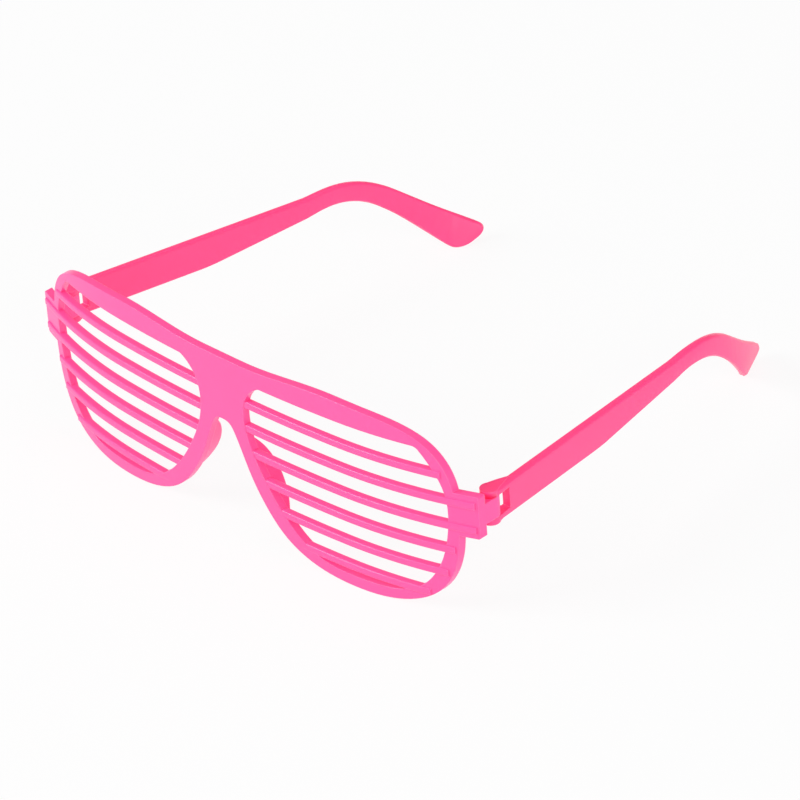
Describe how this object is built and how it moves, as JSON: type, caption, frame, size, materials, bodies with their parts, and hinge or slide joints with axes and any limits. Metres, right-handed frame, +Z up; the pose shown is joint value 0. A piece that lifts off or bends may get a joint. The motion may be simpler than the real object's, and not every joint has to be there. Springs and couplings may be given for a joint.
{
  "type": "slatted novelty glasses",
  "caption": "Slatted party glasses: a curved one-piece front with flat slats in place of lenses, moulded nose pads and two folding temples.",
  "frame": {"origin": "under the middle of the glasses, on the surface they stand on, halfway between the front and the temple tips", "axes": "+Z up; the front faces -Y and the temples run to +Y; +X is the right hand side as seen by someone facing the front"},
  "size_m": [0.145, 0.1296, 0.0493],
  "materials": {
    "front_plastic": "moulded, soft sheen",
    "temple_plastic": "moulded, soft sheen"
  },
  "bodies": {
    "front": {"slatted_front": "front_plastic"},
    "right_arm": {"right_temple": "temple_plastic"},
    "left_arm": {"left_temple": "temple_plastic"}
  },
  "joints": [
    {"name": "right_fold", "type": "hinge", "parent": "front", "child": "right_arm", "pos_m": [0.0703, -0.04859, 0.02789], "axis": [0, 0.0251, 0.9997], "range_deg": [0, 80]},
    {"name": "left_fold", "type": "hinge", "parent": "front", "child": "left_arm", "pos_m": [-0.0703, -0.04859, 0.02789], "axis": [0, -0.0251, -0.9997], "range_deg": [0, 71]}
  ]
}
